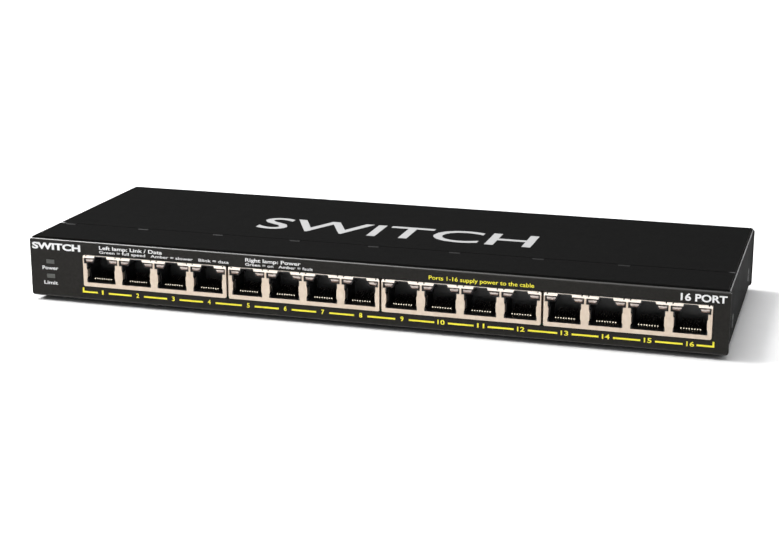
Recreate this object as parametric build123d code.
from build123d import *
import os

# Sixteen-port desktop network switch in a two-piece folded steel case.
# Millimetres. +X runs along the row of ports, -Y is the port side, +Z is up.
# The origin is on the surface the feet stand on, at the middle of the case.

os.makedirs("parts", exist_ok=True)

# ---- Driving dimensions ----------------------------------------------------
WIDTH = 286.0          # front and rear panels, end to end
DEPTH = 101.0          # jack fronts to the outside of the rear panel
HEIGHT = 27.0          # rubber feet to the top of the cover
FOOT_HEIGHT = 1.6      # how far the feet hold the case off the desk
SHEET = 0.8            # steel sheet of the case
BEND = 1.0             # outer radius of the tray's bends
COVER_BEND = 1.2       # outer radius of the cover's bends
PORTS_PER_BANK = 4
BANKS = 4
PORT_PITCH = 15.75
BANK_PITCH = 64.13
FIRST_BANK_X = -87.4   # middle of the first bank of jacks

# ---- Case, from the front back ---------------------------------------------
FRONT = -DEPTH / 2             # jack fronts, a touch proud of the panel
REAR = DEPTH / 2               # outside of the rear panel
JACK_PROUD = 0.2
PANEL_FRONT = FRONT + JACK_PROUD
PANEL_BACK = PANEL_FRONT + SHEET
REAR_INSIDE = REAR - SHEET
FLOOR = FOOT_HEIGHT            # underside of the tray
FLOOR_TOP = FLOOR + SHEET
PANEL_TOP = HEIGHT - SHEET     # top of the tray's flanges, under the cover
HALF_WIDTH = WIDTH / 2
SIDE_OUTER = HALF_WIDTH - 0.4  # outside of the cover's walls
SIDE_INNER = SIDE_OUTER - SHEET
TRAY_SIDE = SIDE_INNER - 0.1   # outside of the tray's low side walls
TRAY_SIDE_TOP = 16.0
COVER_HEM = 4.4                # lower edge of the cover's walls
EDGE_GAP = 0.2                 # between the cover's edges and the panels
FRONT_FLANGE_END = -29.0       # back edge of the front panel's top flange
REAR_FLANGE_START = 42.0
CORNER_BOTTOM = 1.6            # lower corners of the panels
CORNER_TOP = 0.8

# ---- Cover details ----------------------------------------------------------
GROOVE_Y = -25.0               # pressed line across the top
GROOVE_WIDTH = 1.2
GROOVE_DEPTH = 0.35
RIB_COUNT = 8                  # short raised ribs just in front of the groove
RIB_PITCH = 33.7
FIRST_RIB_X = -135.9
RIB_LENGTH = 5.0
RIB_RADIUS = 1.1
RIB_RISE = 0.4
COVER_SCREW_Y = 34.0           # either side of the middle
COVER_SCREW_Z = 10.6

# ---- Circuit board -----------------------------------------------------------
BOARD = 1.6
BOARD_TOP = 7.45
BOARD_BOTTOM = BOARD_TOP - BOARD
BOARD_FRONT = -49.2
BOARD_REAR = 46.5
BOARD_HALF = 139.5
STANDOFFS = [(x, y) for x in (-133.0, 133.0) for y in (-7.0, 40.0)] + [(44.0, -7.0), (0.0, 40.0)]
SCREW_R = 1.5                  # M3

# ---- Jacks -------------------------------------------------------------------
SHIELD_HALF = 31.6             # half the width of one bank's shield
SHIELD_TOP = 20.65
SHIELD_BACK = -34.5
TIN = 0.25                     # shield sheet
PORT_HALF = 6.42               # half the opening in the shield
PORT_WAIST = 0.3               # how far the spring fingers narrow that opening
FINGER_Z = (11.3, 14.4)        # foot and head of the fingers
PORT_FLOOR = 9.1
WEB_TOP = 17.1                 # where a port's side webs narrow beside its lamps
LAMP_HALF = 7.5                # outer end of the lamp openings
BAR_BOTTOM = 19.5              # underside of the bars above the lamps
BAR_END = 2.95
NOTCH_TOP = 20.5
CUT_OUT = (-119.2, 136.8, 7.3, 20.85)   # panel cut-out: x0, x1, z0, z1
PLUG_HALF = 5.95               # half the plug cavity in the plastic
PLUG_TOP = 17.35
PLUG_END = -38.5
CONTACTS_PER_PORT = 8
CONTACT_PITCH = 1.016
CONTACT_WIDTH = 0.4
CONTACT_THICK = 0.3
CONTACT_NOSE = (FRONT + 1.9, PORT_FLOOR + 1.4)   # y, z of the bright bends in a port's mouth
TAIL_ROWS = (-42.0, -44.4)     # solder tails, staggered
TAIL_END = 4.6
LAMP_LENGTH = 6.0
LAMP_ROUND = 0.55              # rounding of a lamp's front rim
LAMP_LEAD_Y = -35.6
LAMP_LEAD = 0.45

# ---- Status lamps -------------------------------------------------------------
STATUS_X = -134.05
STATUS_Z = (16.6, 10.5)        # power, then power budget
STATUS_WINDOW = (3.6, 1.7)
STATUS_LED_Y = (-41.6, -45.6)

# ---- Rear and underside ---------------------------------------------------------
INLET_X = 116.0
INLET_Z = 14.2
INLET_NOSE_R = 4.6
INLET_BORE_R = 3.2
INLET_PIN_R = 1.25
LOCK_X = -124.0
LOCK_SLOT = (7.0, 3.0)
VENT_COLUMNS = 22
VENT_PITCH = 7.0
VENT_SLOT = (2.4, 10.0)
KEYHOLE_SPACING = 150.0
KEYHOLE_Y = 8.0
KEYHOLE_R = 4.0
KEYHOLE_SLOT = 4.2
KEYHOLE_TRAVEL = 7.5
FOOT_R = 6.0
FOOT_AT = [(x, y) for x in (-122.0, 122.0) for y in (-38.0, 38.0)]


# ---- Helpers ------------------------------------------------------------------
def block(x0, x1, y0, y1, z0, z1):
    """A box between two opposite corners."""
    return Pos((x0 + x1) / 2, (y0 + y1) / 2, (z0 + z1) / 2) * Box(x1 - x0, y1 - y0, z1 - z0)


def prism_along_y(outline, y0, y1):
    """A closed outline of (x, z) points, extruded from y0 to y1."""
    face = make_face(Polyline(*[(x, y0, z) for x, z in outline], close=True))
    return extrude(face, amount=y1 - y0, dir=(0, 1, 0))


def prism_along_x(outline, x0, x1):
    """A closed outline of (y, z) points, extruded from x0 to x1."""
    face = make_face(Polyline(*[(x0, y, z) for y, z in outline], close=True))
    return extrude(face, amount=x1 - x0, dir=(1, 0, 0))


def rounded_bar(x0, x1, y0, y1, z0, z1, radius):
    """A box whose four edges along Y are rounded."""
    bar = block(x0, x1, y0, y1, z0, z1)
    return fillet(bar.edges().filter_by(Axis.Y), radius)


def upright(x, y, z0, z1, radius):
    """A cylinder along Z."""
    return Pos(x, y, (z0 + z1) / 2) * Cylinder(radius, z1 - z0)


def crosswise(x0, x1, y, z, radius):
    """A cylinder along X."""
    return Pos((x0 + x1) / 2, y, z) * Rot(0, 90, 0) * Cylinder(radius, x1 - x0)


def lengthwise(x, y0, y1, z, radius):
    """A cylinder along Y."""
    return Pos(x, (y0 + y1) / 2, z) * Rot(90, 0, 0) * Cylinder(radius, y1 - y0)


def mirrored(shape):
    """The same shape on the other side of the middle plane."""
    return mirror(shape, about=Plane.YZ)


def bank_x(bank):
    return FIRST_BANK_X + BANK_PITCH * bank


def port_offsets():
    """Port centres measured from the middle of their bank."""
    middle = (PORTS_PER_BANK - 1) / 2
    return [(i - middle) * PORT_PITCH for i in range(PORTS_PER_BANK)]


def contact_offsets():
    """Contact centres measured from the middle of their port."""
    middle = (CONTACTS_PER_PORT - 1) / 2
    return [(i - middle) * CONTACT_PITCH for i in range(CONTACTS_PER_PORT)]


def all_port_x():
    return [bank_x(bank) + offset for bank in range(BANKS) for offset in port_offsets()]


def save(name, *shapes):
    """Write one node; several shapes stay separate solids of that node."""
    solids = [solid for shape in shapes for solid in shape.solids()]
    export_step(Compound(solids), f"parts/{name}.step")
    return solids


# ---- Case ---------------------------------------------------------------------
def bent_strip():
    """Front panel, floor and rear panel with their top flanges, before trimming."""
    outer = block(-HALF_WIDTH, HALF_WIDTH, PANEL_FRONT, REAR, FLOOR, PANEL_TOP)
    outer = fillet(outer.edges().filter_by(Axis.X), BEND)
    inner = block(-WIDTH, WIDTH, PANEL_BACK, REAR_INSIDE, FLOOR_TOP, PANEL_TOP - SHEET)
    inner = fillet(inner.edges().filter_by(Axis.X), BEND - SHEET)
    opening = block(-WIDTH, WIDTH, FRONT_FLANGE_END, REAR_FLANGE_START, PANEL_TOP - 2 * SHEET, HEIGHT)
    return outer - inner - opening


def panel_corners():
    """The panels' outline, with rounded corners, right through the case."""
    outline = block(-HALF_WIDTH, HALF_WIDTH, FRONT, REAR, FLOOR, PANEL_TOP)
    lower = [e for e in outline.edges().filter_by(Axis.Y) if e.center().Z < HEIGHT / 2]
    outline = fillet(lower, CORNER_BOTTOM)
    upper = [e for e in outline.edges().filter_by(Axis.Y) if e.center().Z > PANEL_TOP - 0.01]
    return fillet(upper, CORNER_TOP)


def tray_side():
    """One low side wall, bent up from the floor."""
    start, end = PANEL_BACK + 0.6, REAR_INSIDE - 0.6
    wall = block(TRAY_SIDE - 6, TRAY_SIDE, start, end, FLOOR, TRAY_SIDE_TOP)
    wall = fillet(wall.edges().filter_by(Axis.Y).sort_by(Axis.Z)[:2].sort_by(Axis.X)[-1:], BEND)
    inside = block(TRAY_SIDE - 7, TRAY_SIDE - SHEET, start - 1, end + 1, FLOOR_TOP, HEIGHT)
    return wall - inside


def keyhole(x):
    """Round entry with a narrower slot towards the rear, for a screw head."""
    entry = upright(x, KEYHOLE_Y, FLOOR - 1, FLOOR_TOP + 1, KEYHOLE_R)
    half = KEYHOLE_SLOT / 2
    end = KEYHOLE_Y + KEYHOLE_TRAVEL
    slot = block(x - half, x + half, KEYHOLE_Y, end, FLOOR - 1, FLOOR_TOP + 1)
    return entry + slot + upright(x, end, FLOOR - 1, FLOOR_TOP + 1, half)


def vent_slots():
    """Two rows of upright slots through the rear panel."""
    width, height = VENT_SLOT
    cuts = []
    for column in range(VENT_COLUMNS):
        x = (column - (VENT_COLUMNS - 1) / 2) * VENT_PITCH
        cuts.append(rounded_bar(x - width / 2, x + width / 2, REAR - 2, REAR + 1,
                                INLET_Z - height / 2, INLET_Z + height / 2, width / 2 - 0.01))
    return cuts


def chassis_tray():
    tray = bent_strip()
    for sign in (-1, 1):
        low, high = sorted((sign * TRAY_SIDE - sign * 1.0, sign * WIDTH))
        tray -= block(low, high, PANEL_BACK, REAR_INSIDE, 0, HEIGHT)
    tray = tray & panel_corners()
    side = tray_side()
    tray = tray + side + mirrored(side)
    x0, x1, z0, z1 = CUT_OUT
    cuts = [rounded_bar(x0, x1, FRONT - 1, PANEL_BACK + 1, z0, z1, 0.4)]
    half_w, half_h = STATUS_WINDOW[0] / 2 + 0.06, STATUS_WINDOW[1] / 2 + 0.06
    for z in STATUS_Z:
        cuts.append(block(STATUS_X - half_w, STATUS_X + half_w, FRONT - 1, PANEL_BACK + 1,
                          z - half_h, z + half_h))
    cuts.append(lengthwise(INLET_X, REAR - 3, REAR + 1, INLET_Z, INLET_NOSE_R + 0.1))
    cuts.append(rounded_bar(LOCK_X - LOCK_SLOT[0] / 2, LOCK_X + LOCK_SLOT[0] / 2, REAR - 3, REAR + 1,
                            INLET_Z - LOCK_SLOT[1] / 2, INLET_Z + LOCK_SLOT[1] / 2, 0.6))
    cuts += vent_slots()
    cuts += [keyhole(x) for x in (-KEYHOLE_SPACING / 2, KEYHOLE_SPACING / 2)]
    cuts += [upright(x, y, FLOOR - 1, FLOOR_TOP + 1, 2.15) for x, y in STANDOFFS]
    for y in (-COVER_SCREW_Y, COVER_SCREW_Y):
        cuts.append(crosswise(-WIDTH, WIDTH, y, COVER_SCREW_Z, SCREW_R + 0.45))
    return tray - cuts


def rib(x):
    """A short rounded bar pressed up out of the cover."""
    y = GROOVE_Y - GROOVE_WIDTH / 2 - 0.3 - RIB_RADIUS
    bar = crosswise(x - RIB_LENGTH / 2, x + RIB_LENGTH / 2, y, HEIGHT + RIB_RISE - RIB_RADIUS, RIB_RADIUS)
    bar = fillet(bar.edges().filter_by(GeomType.CIRCLE), 0.5)
    under = HEIGHT - SHEET + 0.1
    return bar - block(x - RIB_LENGTH, x + RIB_LENGTH, y - 3, y + 3, 0, under)


def countersink(side, extra):
    """The seat of one cover screw's head; side is -1 or 1."""
    depth = SHEET + 0.1 + 0.4
    cone = Cone(SCREW_R - 0.05 + extra, SCREW_R - 0.05 + depth + extra, depth)
    middle = side * (SIDE_OUTER - depth / 2)
    return [Pos(middle, y, COVER_SCREW_Z) * Rot(0, 90 * side, 0) * cone
            for y in (-COVER_SCREW_Y, COVER_SCREW_Y)]


def top_cover():
    start, end = PANEL_BACK + EDGE_GAP, REAR_INSIDE - EDGE_GAP
    outer = block(-SIDE_OUTER, SIDE_OUTER, start, end, COVER_HEM, HEIGHT)
    outer = fillet(outer.edges().filter_by(Axis.Y).sort_by(Axis.Z)[-2:], COVER_BEND)
    inner = block(-SIDE_INNER, SIDE_INNER, start - 1, end + 1, 0, HEIGHT - SHEET)
    inner = fillet(inner.edges().filter_by(Axis.Y).sort_by(Axis.Z)[-2:], COVER_BEND - SHEET)
    cover = outer - inner
    half = GROOVE_WIDTH / 2
    cuts = [prism_along_x([(GROOVE_Y - half, HEIGHT), (GROOVE_Y - half, HEIGHT + 1),
                           (GROOVE_Y + half, HEIGHT + 1), (GROOVE_Y + half, HEIGHT),
                           (GROOVE_Y, HEIGHT - GROOVE_DEPTH)], -WIDTH, WIDTH)]
    cover += [rib(FIRST_RIB_X + RIB_PITCH * i) for i in range(RIB_COUNT)]
    for side in (-1, 1):
        cuts += countersink(side, 0.05)
    return cover - cuts


def cover_screws():
    """Countersunk screws, two a side, into the clinch nuts."""
    screws = []
    for side in (-1, 1):
        for head, y in zip(countersink(side, 0.0), (-COVER_SCREW_Y, COVER_SCREW_Y)):
            inside, outside = side * (TRAY_SIDE - 4.2), side * (SIDE_OUTER - 0.6)
            shank = crosswise(min(inside, outside), max(inside, outside), y, COVER_SCREW_Z, SCREW_R - 0.06)
            face = side * SIDE_OUTER
            low, high = sorted((face - side * 0.7, face + side * 0.5))
            cross = block(low, high, y - 1.4, y + 1.4, COVER_SCREW_Z - 0.3, COVER_SCREW_Z + 0.3)
            cross += block(low, high, y - 0.3, y + 0.3, COVER_SCREW_Z - 1.4, COVER_SCREW_Z + 1.4)
            screws.append(head + shank - cross)
    return screws


def clinch_nuts():
    """Threaded nuts pressed into the tray's side walls from inside."""
    nuts = []
    for side in (-1, 1):
        for y in (-COVER_SCREW_Y, COVER_SCREW_Y):
            face = side * (TRAY_SIDE - SHEET)
            inside = side * (TRAY_SIDE - SHEET - 2.6)
            low, high = min(face, inside), max(face, inside)
            nut = crosswise(low, high, y, COVER_SCREW_Z, 3.1)
            nuts.append(nut - crosswise(low - 1, high + 1, y, COVER_SCREW_Z, SCREW_R))
    return nuts


def rubber_feet():
    feet = []
    for x, y in FOOT_AT:
        foot = upright(x, y, 0, FOOT_HEIGHT, FOOT_R)
        feet.append(fillet(foot.edges().sort_by(Axis.Z)[:1], 0.6))
    return feet


def rating_label():
    """A plain sticker on the underside, with nothing printed on it in this model."""
    label = block(-38, 38, -31, -7, FLOOR - 0.12, FLOOR)
    return fillet(label.edges().filter_by(Axis.Z), 2.0)


# ---- Board and what holds it -----------------------------------------------------
def main_board():
    board = block(-BOARD_HALF, BOARD_HALF, BOARD_FRONT, BOARD_REAR, BOARD_BOTTOM, BOARD_TOP)
    board = fillet(board.edges().filter_by(Axis.Z), 1.5)
    low, high = BOARD_BOTTOM - 1, BOARD_TOP + 1
    holes = [upright(x, y, low, high, SCREW_R + 0.2) for x, y in STANDOFFS]
    for port_x in all_port_x():
        for i, dx in enumerate(contact_offsets()):
            holes.append(upright(port_x + dx, TAIL_ROWS[i % 2], low, high, 0.35))
        for dx in lamp_lead_offsets():
            holes.append(upright(port_x + dx, LAMP_LEAD_Y, low, high, 0.4))
    for edge in range(BANKS + 1):
        x = bank_x(edge) - BANK_PITCH / 2
        for y in shield_peg_rows():
            holes.append(block(x - 1.0, x + 1.0, y - 0.9, y + 0.9, low, high))
    for x, y in inlet_tails():
        holes.append(block(x - 1.4, x + 1.4, y - 0.7, y + 0.7, low, high))
    return board - holes


def standoffs():
    posts = []
    for x, y in STANDOFFS:
        post = upright(x, y, FLOOR_TOP, BOARD_BOTTOM, 2.9) + upright(x, y, FLOOR, FLOOR_TOP, 2.1)
        posts.append(post - upright(x, y, FLOOR - 1, BOARD_BOTTOM + 1, SCREW_R))
    return posts


def board_screws():
    """Pan-head screws that hold the board down."""
    screws = []
    for x, y in STANDOFFS:
        head = upright(x, y, BOARD_TOP, BOARD_TOP + 1.9, 2.75)
        head = fillet(head.edges().sort_by(Axis.Z)[-1:], 0.8)
        cross = block(x - 1.4, x + 1.4, y - 0.3, y + 0.3, BOARD_TOP + 1.0, BOARD_TOP + 3)
        cross += block(x - 0.3, x + 0.3, y - 1.4, y + 1.4, BOARD_TOP + 1.0, BOARD_TOP + 3)
        screws.append(head + upright(x, y, FLOOR_TOP, BOARD_TOP, SCREW_R - 0.06) - cross)
    return screws


def insulating_sheet():
    """Thin film between the solder side of the board and the steel floor."""
    sheet = block(-134, 134, -46, 45, FLOOR_TOP, FLOOR_TOP + 0.25)
    low, high = FLOOR_TOP - 1, FLOOR_TOP + 1
    cuts = [upright(x, y, low, high, 3.6) for x, y in STANDOFFS]
    for x in (-KEYHOLE_SPACING / 2, KEYHOLE_SPACING / 2):
        cuts.append(rounded_patch(x, KEYHOLE_Y + 2.5, low, high))
    return sheet - cuts


def rounded_patch(x, y, low, high):
    """Clearance for a wall screw's head over one keyhole."""
    patch = block(x - 6, x + 6, y - 9, y + 9, low, high)
    return fillet(patch.edges().filter_by(Axis.Z), 3.0)


# ---- Banks of jacks ----------------------------------------------------------------
def shield_peg_rows():
    return (-46.0, -38.5)


def port_opening():
    """Outline of one port in the shield, as (x, z) from the port's centre line."""
    foot, head = FINGER_Z
    waist = PORT_HALF - PORT_WAIST
    right = [(PORT_HALF, PORT_FLOOR), (PORT_HALF, foot - 0.9), (waist, foot), (waist, head),
             (PORT_HALF, head + 0.9), (PORT_HALF, WEB_TOP), (LAMP_HALF, WEB_TOP),
             (LAMP_HALF, BAR_BOTTOM), (BAR_END, BAR_BOTTOM), (BAR_END - 0.35, NOTCH_TOP)]
    return right + [(-x, z) for x, z in reversed(right)]


def spring_finger(side):
    """One leaf bent back from the edge of a port, bowed towards the plug."""
    root = side * (PORT_HALF - PORT_WAIST + 0.1)
    bow = side * (PORT_HALF - PORT_WAIST)
    tip = side * (PORT_HALF + 0.12)
    path = [(root, FRONT + 0.12), (bow, FRONT + 0.9), (bow, FRONT + 1.5), (tip, FRONT + 2.6)]
    inner = [(x - side * 0.1, y) for x, y in path]
    outer = [(x + side * 0.1, y) for x, y in reversed(path)]
    z0, z1 = FINGER_Z
    face = make_face(Polyline(*[(x, y, z0) for x, y in inner + outer], close=True))
    return extrude(face, amount=z1 - z0, dir=(0, 0, 1))


def jack_shield():
    """Folded tin shield around one bank, with its bank's middle at x = 0."""
    low = BOARD_TOP
    shell = rounded_bar(-SHIELD_HALF, SHIELD_HALF, FRONT, SHIELD_BACK, low, SHIELD_TOP, 0.7)
    hollow = rounded_bar(-SHIELD_HALF + TIN, SHIELD_HALF - TIN, FRONT + TIN, SHIELD_BACK - TIN,
                         low + TIN, SHIELD_TOP - TIN, 0.45)
    shell -= hollow
    shell -= block(-SHIELD_HALF + 1, SHIELD_HALF - 1, FRONT + 3.2, SHIELD_BACK + 1, low - 1, low + 1.2)
    for dx in port_offsets():
        outline = [(x + dx, z) for x, z in port_opening()]
        shell -= prism_along_y(outline, FRONT - 1, FRONT + 1)
    middle = PORTS_PER_BANK / 2
    for i in range(PORTS_PER_BANK + 1):
        stem = (i - middle) * PORT_PITCH
        for x in (stem - 1.25, stem + 1.25):
            if abs(x) < SHIELD_HALF - 0.6:
                shell -= block(x - 0.26, x + 0.26, FRONT - 1, FRONT + 2.2, SHIELD_TOP - 0.55, SHIELD_TOP + 1)
    for dx in port_offsets():
        for side in (-1, 1):
            shell += Pos(dx, 0, 0) * spring_finger(side)
    for side in (-1, 1):
        for y in shield_peg_rows():
            x0, x1 = sorted((side * SHIELD_HALF, side * (SHIELD_HALF - TIN)))
            shell += block(x0, x1, y - 0.6, y + 0.6, TAIL_END, low + 2)
    return shell


def lamp_outline(grow):
    """One lamp's face as (x, z) from the port's centre line, sloped beside the latch notch."""
    return [(3.95 - grow, 17.5 - grow), (6.95 + grow, 17.5 - grow),
            (6.95 + grow, 19.2 + grow), (3.15 - grow, 19.2 + grow)]


def lamp_lead_offsets():
    """Lamp lead positions measured from the port's centre line."""
    return (-6.4, -5.0, 5.0, 6.4)


def jack_housing():
    """Moulded insert of one bank: four plug cavities, latch notches, lamp pockets, slots."""
    front, back = FRONT + TIN + 0.05, LAMP_LEAD_Y - 0.6
    half = SHIELD_HALF - TIN - 0.05
    low, high = BOARD_TOP + TIN + 0.05, SHIELD_TOP - TIN - 0.05
    body = rounded_bar(-half, half, front, back, low, high, 0.4)
    cuts = []
    for dx in port_offsets():
        cuts.append(block(dx - PLUG_HALF, dx + PLUG_HALF, front - 1, PLUG_END, PORT_FLOOR + 0.05, PLUG_TOP))
        finger = PORT_HALF + 0.45
        cuts.append(block(dx - finger, dx + finger, front - 1, FRONT + 3.0, 10.3, 15.4))
        notch = [(-3.5, PLUG_TOP - 0.1), (3.5, PLUG_TOP - 0.1), (3.5, 17.6), (2.3, 20.0),
                 (-2.3, 20.0), (-3.5, 17.6)]
        cuts.append(prism_along_y([(x + dx, z) for x, z in notch], front - 1, FRONT + 8.5))
        for side in (-1, 1):
            pocket = [(side * x + dx, z) for x, z in lamp_outline(0.06)]
            cuts.append(prism_along_y(pocket, front - 1, front + LAMP_LENGTH + 0.1))
        for lead in lamp_lead_offsets():
            x = dx + lead
            cuts.append(block(x - 0.35, x + 0.35, front + LAMP_LENGTH, back + 1, 18.1, 18.8))
        for i, contact in enumerate(contact_offsets()):
            x = dx + contact
            end = TAIL_ROWS[i % 2] + 0.45
            cuts.append(block(x - 0.28, x + 0.28, FRONT + 2.4, end, low - 1, PORT_FLOOR + 1))
    return body - cuts


def contact_wire(tail_y):
    """One springy contact: tail through the board, run under the floor, nose in the mouth, slope behind."""
    t = CONTACT_THICK
    run = PORT_FLOOR - 0.75
    nose_y, nose_z = CONTACT_NOSE
    outline = [(tail_y + t / 2, TAIL_END), (tail_y + t / 2, run + t), (nose_y + 1.55, run + t),
               (nose_y + 0.42, nose_z), (FRONT + 9.6, 12.25), (FRONT + 9.5, 12.55),
               (nose_y + 0.3, nose_z + 0.5), (nose_y + 0.08, nose_z + 0.4), (nose_y, nose_z + 0.2),
               (nose_y, nose_z - 0.15), (nose_y + 0.08, nose_z - 0.3), (nose_y + 1.25, run),
               (tail_y - t / 2, run), (tail_y - t / 2, TAIL_END)]
    return prism_along_x(outline, -CONTACT_WIDTH / 2, CONTACT_WIDTH / 2)


def jack_contacts():
    """All contacts of one bank."""
    wires = [contact_wire(tail_y) for tail_y in TAIL_ROWS]
    return [Pos(dx + contact, 0, 0) * wires[i % 2]
            for dx in port_offsets() for i, contact in enumerate(contact_offsets())]


def jack_lamps():
    """Two clear rectangular lamps above each port of one bank."""
    front = FRONT + TIN + 0.05
    lamps = []
    for dx in port_offsets():
        for side in (-1, 1):
            outline = [(side * x + dx, z) for x, z in lamp_outline(0.0)]
            lamp = prism_along_y(outline, front + 0.05, front + LAMP_LENGTH)
            lamps.append(fillet(lamp.edges().sort_by(Axis.Y)[:4], LAMP_ROUND))
    return lamps


def lamp_leads():
    """Tinned wires from the lamps back over the insert and down to the board."""
    back = FRONT + TIN + 0.05 + LAMP_LENGTH
    half = LAMP_LEAD / 2
    z = 18.45
    outline = [(back, z - half), (LAMP_LEAD_Y - half, z - half), (LAMP_LEAD_Y - half, TAIL_END),
               (LAMP_LEAD_Y + half, TAIL_END), (LAMP_LEAD_Y + half, z + half - 0.15),
               (LAMP_LEAD_Y + half - 0.15, z + half), (back, z + half)]
    lead = prism_along_x(outline, -half, half)
    return [Pos(dx + x, 0, 0) * lead for dx in port_offsets() for x in lamp_lead_offsets()]


# ---- Status lamps ---------------------------------------------------------------------
def status_light_guide():
    """Clear moulding that carries both status lamps from the board to the panel."""
    half_w, half_h = STATUS_WINDOW[0] / 2, STATUS_WINDOW[1] / 2
    x0, x1 = STATUS_X - half_w, STATUS_X + half_w
    guide = block(x0 - 0.8, x1 + 0.8, PANEL_BACK + 0.7, PANEL_BACK + 1.7, BOARD_TOP, STATUS_Z[0] + 2.2)
    for z, led_y in zip(STATUS_Z, STATUS_LED_Y):
        arm = [(PANEL_FRONT, z - half_h), (led_y - half_h, z - half_h), (led_y - half_h, BOARD_TOP + 1.2),
               (led_y + half_h, BOARD_TOP + 1.2), (led_y + half_h, z + half_h - 1.0),
               (led_y + half_h - 1.0, z + half_h), (PANEL_FRONT, z + half_h)]
        guide += prism_along_x(arm, x0, x1)
    return guide


def status_leds():
    return [block(STATUS_X - 1.0, STATUS_X + 1.0, y - 0.6, y + 0.6, BOARD_TOP, BOARD_TOP + 0.9)
            for y in STATUS_LED_Y]


# ---- Power inlet -------------------------------------------------------------------------
INLET_FRONT = 36.0
INLET_HALF = 5.5
INLET_TOP = 20.0


def inlet_tails():
    return ((INLET_X, 37.6), (INLET_X, 43.4))


def inlet_housing():
    body = rounded_bar(INLET_X - INLET_HALF, INLET_X + INLET_HALF, INLET_FRONT, REAR_INSIDE - 0.2,
                       BOARD_TOP, INLET_TOP, 0.8)
    body += lengthwise(INLET_X, REAR_INSIDE - 1, REAR - 0.1, INLET_Z, INLET_NOSE_R)
    body -= lengthwise(INLET_X, REAR - 9.8, REAR + 1, INLET_Z, INLET_BORE_R)
    body -= lengthwise(INLET_X, INLET_FRONT - 1, REAR, INLET_Z, INLET_PIN_R + 0.05)
    spring_slot = block(INLET_X - 1.3, INLET_X + 1.3, 42.6, REAR - 2.0, BOARD_TOP - 1, INLET_Z)
    tail_slot = block(INLET_X - 1.3, INLET_X + 1.3, INLET_FRONT - 1, 38.2, BOARD_TOP - 1, INLET_Z + 0.6)
    return body - spring_slot - tail_slot


def inlet_pin():
    """Centre pin with its flat tail down through the board."""
    pin = lengthwise(INLET_X, 37.2, REAR - 1.2, INLET_Z, INLET_PIN_R)
    pin = fillet(pin.edges().sort_by(Axis.Y)[-1:], 0.6)
    return pin + block(INLET_X - 1.1, INLET_X + 1.1, 37.2, 38.0, TAIL_END, INLET_Z)


def inlet_spring():
    """Leaf that presses on the sleeve of the plug from below."""
    z = INLET_Z - INLET_BORE_R
    outline = [(43.0, TAIL_END), (43.8, TAIL_END), (43.8, z - 0.9), (REAR - 3.4, z + 0.1),
               (REAR - 2.6, z - 0.4), (REAR - 2.4, z - 0.1), (REAR - 3.4, z + 0.5), (43.0, z - 0.4)]
    return prism_along_x(outline, INLET_X - 1.1, INLET_X + 1.1)


# ---- Parts on the board ----------------------------------------------------------------------
def chip(x, y, width, depth, height, lead_count=0, lead_pitch=1.27):
    """A moulded package with gull leads along its two long sides."""
    body = block(x - width / 2, x + width / 2, y - depth / 2, y + depth / 2,
                 BOARD_TOP + 0.1, BOARD_TOP + height)
    body = chamfer(body.edges().group_by(Axis.Z)[-1], min(0.3, height / 4))
    for i in range(lead_count):
        lead_x = x + (i - (lead_count - 1) / 2) * lead_pitch
        body += block(lead_x - 0.2, lead_x + 0.2, y - depth / 2 - 1.0, y + depth / 2 + 1.0,
                      BOARD_TOP, BOARD_TOP + 0.25)
    return body


def port_transformers():
    """One isolation transformer module behind each port."""
    module = chip(0, 0, 12.6, 8.6, 5.2, 10, 1.2)
    return [Pos(x, -27.5, 0) * module for x in all_port_x()]


def port_power_switches():
    """One small power transistor for each port's supply."""
    switch = chip(0, 0, 3.2, 3.2, 1.1, 3, 0.9)
    return [Pos(x, -16.5, 0) * switch for x in all_port_x()]


def surge_protectors():
    """One clamp diode for each port."""
    diode = chip(0, 0, 2.8, 4.0, 2.2, 1, 1.0)
    return [Pos(x + 5.2, -16.5, 0) * diode for x in all_port_x()]


def switch_chip():
    return chip(0, 10, 20.0, 20.0, 1.5, 24, 0.8)


def thermal_pad():
    return block(-10, 10, 0, 20, BOARD_TOP + 1.5, BOARD_TOP + 2.0)


def heat_sink():
    """Extruded aluminium block with fins, on the switch chip."""
    base = BOARD_TOP + 2.0
    sink = block(-22, 22, -8, 28, base, base + 2.0)
    fin_pitch = 44.0 / 12
    for i in range(12):
        x = -22 + fin_pitch * (i + 0.5)
        sink += block(x - 0.6, x + 0.6, -8, 28, base + 1.9, base + 10.0)
    return sink


def power_controllers():
    """Two chips that manage the ports' power, eight ports each."""
    return [chip(x, 2, 9.0, 9.0, 1.0, 12, 0.65) for x in (-80.0, 66.0)]


def bulk_capacitors():
    """Aluminium cans that steady the inlet's supply."""
    cans = []
    for x in (76.0, 90.0, 104.0):
        can = upright(x, 24, BOARD_TOP, BOARD_TOP + 13.5, 5.0)
        can = fillet(can.edges().sort_by(Axis.Z)[-1:], 0.7)
        groove = upright(x, 24, BOARD_TOP + 1.6, BOARD_TOP + 2.3, 6.0)
        groove -= upright(x, 24, BOARD_TOP, BOARD_TOP + 4, 4.6)
        cans.append(can - groove)
    return cans


def power_inductors():
    coils = []
    for x, y in ((44.0, 22.0), (-44.0, 22.0), (58.0, 22.0)):
        coil = block(x - 6, x + 6, y - 6, y + 6, BOARD_TOP, BOARD_TOP + 6.0)
        coil = fillet(coil.edges().filter_by(Axis.Z), 1.5)
        coils.append(chamfer(coil.edges().group_by(Axis.Z)[-1], 0.6))
    return coils


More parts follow.
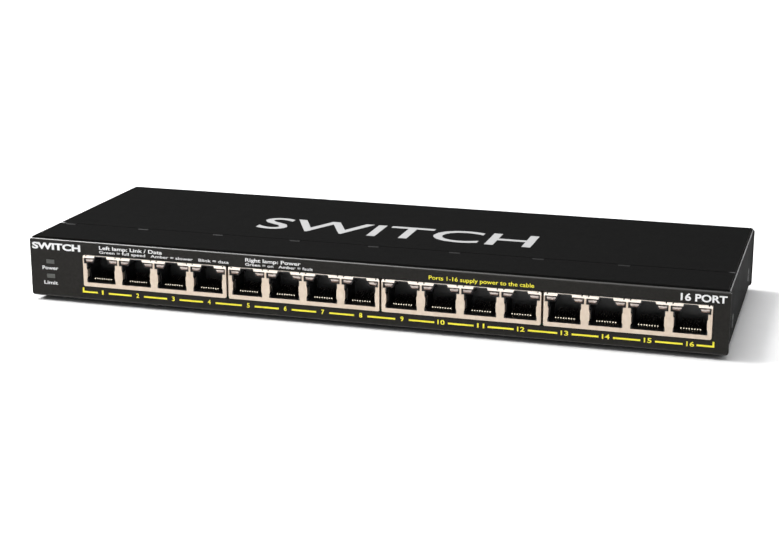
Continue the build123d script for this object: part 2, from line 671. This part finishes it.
def input_choke():
    """Ring core with two windings in the inlet's feed, lying flat on the board."""
    ring = upright(128, 20, BOARD_TOP + 0.4, BOARD_TOP + 7.4, 7.0)
    ring -= upright(128, 20, BOARD_TOP - 1, BOARD_TOP + 9, 3.2)
    return fillet(ring.edges().filter_by(GeomType.CIRCLE), 0.9)


def choke_base():
    """Moulded base that carries the ring core and its pins."""
    base = block(120.5, 135.5, 12.5, 27.5, BOARD_TOP, BOARD_TOP + 0.4)
    return fillet(base.edges().filter_by(Axis.Z), 1.0)


def input_fuse():
    return chip(98, 40.5, 10.0, 3.6, 2.6, 2, 8.0)


def input_rectifiers():
    """Two flat power diodes against a reversed supply."""
    return [chip(x, 8, 7.0, 6.0, 2.4, 2, 4.4) for x in (92.0, 106.0)]


def clock_crystal():
    can = block(-30, -25, -7.2, -4.0, BOARD_TOP, BOARD_TOP + 1.1)
    return fillet(can.edges().filter_by(Axis.Z), 0.6)


def settings_memory():
    return chip(28, -6, 5.0, 4.0, 1.6, 4, 1.27)


def ceramic_capacitors():
    """Small decoupling capacitors in rows around the chips."""
    small = block(-0.8, 0.8, -0.45, 0.45, BOARD_TOP, BOARD_TOP + 0.8)
    places = [(x, y) for x in (-36.0, 36.0) for y in (2.0, 6.0, 10.0, 14.0)]
    places += [(x, -11.5) for x in all_port_x()]
    places += [(x, 34.0) for x in range(-60, 61, 12)]
    return [Pos(x, y, 0) * small for x, y in places]


def chip_resistors():
    """Small resistors beside each port's transformer and power switch."""
    small = block(-0.8, 0.8, -0.4, 0.4, BOARD_TOP, BOARD_TOP + 0.5)
    return [Pos(x - 4.8, y, 0) * small for x in all_port_x() for y in (-18.0, -16.0, -14.0)]


# ---- Write every node ------------------------------------------------------------------------
def place_banks():
    shield, housing = jack_shield(), jack_housing()
    contacts, lamps, leads = jack_contacts(), jack_lamps(), lamp_leads()
    for bank in range(BANKS):
        at = Pos(bank_x(bank), 0, 0)
        number = bank + 1
        save(f"jack_shield_{number}", at * shield)
        save(f"jack_housing_{number}", at * housing)
        save(f"jack_contacts_{number}", *[at * wire for wire in contacts])
        save(f"jack_lamps_{number}", *[at * lamp for lamp in lamps])
        save(f"jack_lamp_leads_{number}", *[at * lead for lead in leads])


save("chassis_tray", chassis_tray())
save("top_cover", top_cover())
save("cover_screws", *cover_screws())
save("clinch_nuts", *clinch_nuts())
save("rubber_feet", *rubber_feet())
save("rating_label", rating_label())
save("main_board", main_board())
save("standoffs", *standoffs())
save("board_screws", *board_screws())
save("insulating_sheet", insulating_sheet())
place_banks()
save("status_light_guide", status_light_guide())
save("status_leds", *status_leds())
save("inlet_housing", inlet_housing())
save("inlet_pin", inlet_pin())
save("inlet_spring", inlet_spring())
save("port_transformers", *port_transformers())
save("port_power_switches", *port_power_switches())
save("surge_protectors", *surge_protectors())
save("switch_chip", switch_chip())
save("thermal_pad", thermal_pad())
save("heat_sink", heat_sink())
save("power_controllers", *power_controllers())
save("bulk_capacitors", *bulk_capacitors())
save("power_inductors", *power_inductors())
save("input_choke", input_choke())
save("choke_base", choke_base())
save("input_fuse", input_fuse())
save("input_rectifiers", *input_rectifiers())
save("clock_crystal", clock_crystal())
save("settings_memory", settings_memory())
save("ceramic_capacitors", *ceramic_capacitors())
save("chip_resistors", *chip_resistors())
